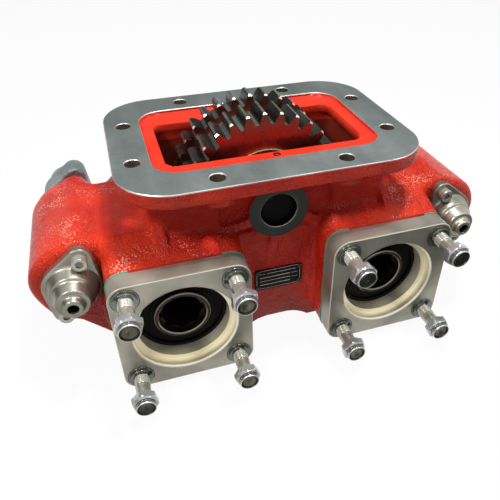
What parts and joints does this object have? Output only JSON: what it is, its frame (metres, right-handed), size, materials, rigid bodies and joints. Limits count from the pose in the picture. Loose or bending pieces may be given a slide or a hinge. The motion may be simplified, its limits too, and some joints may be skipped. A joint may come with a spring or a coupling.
{
  "type": "power take off unit",
  "caption": "Gearbox power take off with an eight-bolt flange, an input gear in its window and two clutched outputs with square pump flanges, studs and air shift covers.",
  "frame": {"origin": "middle of the machined mounting face", "axes": "+Z out of the mounting face, +X along the flange, the outputs face -Y"},
  "size_m": [0.3842, 0.241, 0.1946],
  "materials": {
    "cast_paint": "gloss",
    "nameplate_black": "satin",
    "rivet_aluminium": "satin",
    "gear_steel": "satin",
    "ground_steel": "satin",
    "bearing_steel": "satin",
    "bronze": "satin",
    "plate_aluminium": "satin",
    "green_gasket": "matte",
    "zinc_stud": "satin",
    "bright_zinc": "gloss",
    "zinc_washer": "satin",
    "spring_steel": "satin",
    "seal_rubber": "matte",
    "fork_iron": "matte",
    "cover_aluminium": "satin",
    "screw_steel": "satin",
    "cap_metal": "matte"
  },
  "bodies": {
    "housing": {"housing": "cast_paint", "nameplate": "nameplate_black", "nameplate_rivets": "rivet_aluminium", "input_spindle": "ground_steel", "spindle_pin": "ground_steel", "input_bearing_front": "bearing_steel", "input_bearing_rear": "bearing_steel", "thrust_washer_front": "bronze", "thrust_washer_rear": "bronze", "left_output_flange": "plate_aluminium", "left_flange_gasket": "green_gasket", "left_flange_studs": "zinc_stud", "left_stud_nuts": "bright_zinc", "left_flat_washers": "zinc_washer", "left_spring_washers": "zinc_washer", "left_front_bearing": "bearing_steel", "left_rear_bearing": "bearing_steel", "left_shaft_seal": "seal_rubber", "left_return_spring": "spring_steel", "left_air_cover": "cover_aluminium", "left_cover_screws": "screw_steel", "left_rear_cap": "cap_metal", "right_output_flange": "plate_aluminium", "right_flange_gasket": "green_gasket", "right_flange_studs": "zinc_stud", "right_stud_nuts": "bright_zinc", "right_flat_washers": "zinc_washer", "right_spring_washers": "zinc_washer", "right_front_bearing": "bearing_steel", "right_rear_bearing": "bearing_steel", "right_shaft_seal": "seal_rubber", "right_return_spring": "spring_steel", "right_air_cover": "cover_aluminium", "right_cover_screws": "screw_steel", "right_rear_cap": "cap_metal"},
    "input_gear": {"input_gear": "gear_steel"},
    "left_output_gear": {"left_output_gear": "gear_steel", "left_gear_bearing": "bearing_steel"},
    "left_output_shaft": {"left_output_shaft": "ground_steel", "left_shaft_clip": "spring_steel", "left_gear_spacer": "ground_steel"},
    "left_clutch_sleeve": {"left_clutch_sleeve": "gear_steel"},
    "left_shifter": {"left_piston_rod": "ground_steel", "left_piston": "plate_aluminium", "left_piston_seal": "seal_rubber", "left_shift_fork": "fork_iron"},
    "right_output_gear": {"right_output_gear": "gear_steel", "right_gear_bearing": "bearing_steel"},
    "right_output_shaft": {"right_output_shaft": "ground_steel", "right_shaft_clip": "spring_steel", "right_gear_spacer": "ground_steel"},
    "right_clutch_sleeve": {"right_clutch_sleeve": "gear_steel"},
    "right_shifter": {"right_piston_rod": "ground_steel", "right_piston": "plate_aluminium", "right_piston_seal": "seal_rubber", "right_shift_fork": "fork_iron"}
  },
  "joints": [
    {"name": "input_gear_spin", "type": "hinge", "parent": "housing", "child": "input_gear", "pos_m": [0, 0, -0.04341], "axis": [0, 1, 0], "continuous": true},
    {"name": "left_output_gear_spin", "type": "hinge", "parent": "housing", "child": "left_output_gear", "pos_m": [-0.086, 0, -0.112], "axis": [0, 1, 0], "continuous": true},
    {"name": "left_output_shaft_spin", "type": "hinge", "parent": "housing", "child": "left_output_shaft", "pos_m": [-0.086, 0, -0.112], "axis": [0, 1, 0], "continuous": true},
    {"name": "left_shift", "type": "slide", "parent": "housing", "child": "left_shifter", "axis": [0, 1, 0], "range_m": [0, 0.012], "stiffness_N_per_m": 5000, "springref_m": -0.004, "deforming": ["left_return_spring"]},
    {"name": "left_sleeve_slide", "type": "slide", "parent": "left_output_shaft", "child": "left_clutch_sleeve", "axis": [0, 1, 0], "range_m": [0, 0.012]},
    {"name": "right_output_gear_spin", "type": "hinge", "parent": "housing", "child": "right_output_gear", "pos_m": [0.086, 0, -0.112], "axis": [0, 1, 0], "continuous": true},
    {"name": "right_output_shaft_spin", "type": "hinge", "parent": "housing", "child": "right_output_shaft", "pos_m": [0.086, 0, -0.112], "axis": [0, 1, 0], "continuous": true},
    {"name": "right_shift", "type": "slide", "parent": "housing", "child": "right_shifter", "axis": [0, 1, 0], "range_m": [0, 0.012], "stiffness_N_per_m": 5000, "springref_m": -0.004, "deforming": ["right_return_spring"]},
    {"name": "right_sleeve_slide", "type": "slide", "parent": "right_output_shaft", "child": "right_clutch_sleeve", "axis": [0, 1, 0], "range_m": [0, 0.012]}
  ],
  "couplings": [
    {"joint": "left_output_gear_spin", "follows": "input_gear_spin", "ratio": -1.2},
    {"joint": "left_sleeve_slide", "follows": "left_shift", "ratio": 1},
    {"joint": "right_output_gear_spin", "follows": "input_gear_spin", "ratio": -1.2},
    {"joint": "right_sleeve_slide", "follows": "right_shift", "ratio": 1}
  ]
}
